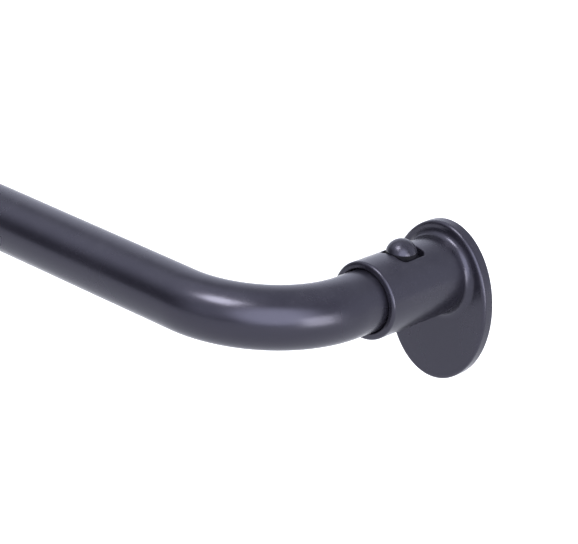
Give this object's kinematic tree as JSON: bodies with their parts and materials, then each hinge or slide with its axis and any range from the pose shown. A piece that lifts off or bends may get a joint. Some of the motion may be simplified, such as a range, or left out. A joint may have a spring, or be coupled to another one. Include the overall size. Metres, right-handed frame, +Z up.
{
  "type": "curtain rod with brackets",
  "caption": "Wrap-around telescoping curtain rod: ends bent back to the wall, held in oval-plated socket brackets by domed snap buttons.",
  "frame": {"origin": "on the wall plane, at the centre of the right-hand bracket's two wall screws, which is on its socket's axis", "axes": "+X along the rod towards the right-hand bracket, +Y into the wall with the room on the -Y side, +Z up"},
  "size_m": [0.7588, 0.0905, 0.0521],
  "materials": {
    "cast_bracket": "satin charcoal paint on a zinc casting",
    "coated_tube": "satin charcoal powder coat on steel tube",
    "coated_button": "satin charcoal paint on steel",
    "spring_steel": "plain spring steel strip",
    "liner_plastic": "matte black moulded plastic"
  },
  "bodies": {
    "right_bracket": {"right_bracket": "cast_bracket"},
    "rod_outer": {"outer_tube": "coated_tube", "outer_mouth_liner": "liner_plastic", "right_snap_spring": "spring_steel"},
    "right_button": {"right_snap_button": "coated_button"},
    "rod_inner": {"inner_tube": "coated_tube", "inner_tube_glide": "liner_plastic", "inner_end_sleeve": "liner_plastic", "left_snap_spring": "spring_steel"},
    "left_button": {"left_snap_button": "coated_button"},
    "left_bracket": {"left_bracket": "cast_bracket"}
  },
  "joints": [
    {"name": "rod_seat", "type": "slide", "parent": "right_bracket", "child": "rod_outer", "axis": [0, 1, 0], "range_m": [0, 0.0014]},
    {"name": "telescope", "type": "slide", "parent": "rod_outer", "child": "rod_inner", "axis": [-1, 0, 0], "range_m": [0, 0.508]},
    {"name": "right_button_press", "type": "slide", "parent": "rod_outer", "child": "right_button", "axis": [0, 0, -1], "range_m": [0, 0.0062], "stiffness_N_per_m": 1500, "springref_m": -0.002, "deforming": ["right_snap_spring"]},
    {"name": "left_button_press", "type": "slide", "parent": "rod_inner", "child": "left_button", "axis": [0, 0, -1], "range_m": [0, 0.0062], "stiffness_N_per_m": 1500, "springref_m": -0.002, "deforming": ["left_snap_spring"]},
    {"name": "left_bracket_seat", "type": "slide", "parent": "rod_inner", "child": "left_bracket", "axis": [0, 1, 0], "range_m": [-0.0014, 0]}
  ],
  "couplings": [
    {"joint": "left_bracket_seat", "follows": "rod_seat", "ratio": -1}
  ]
}
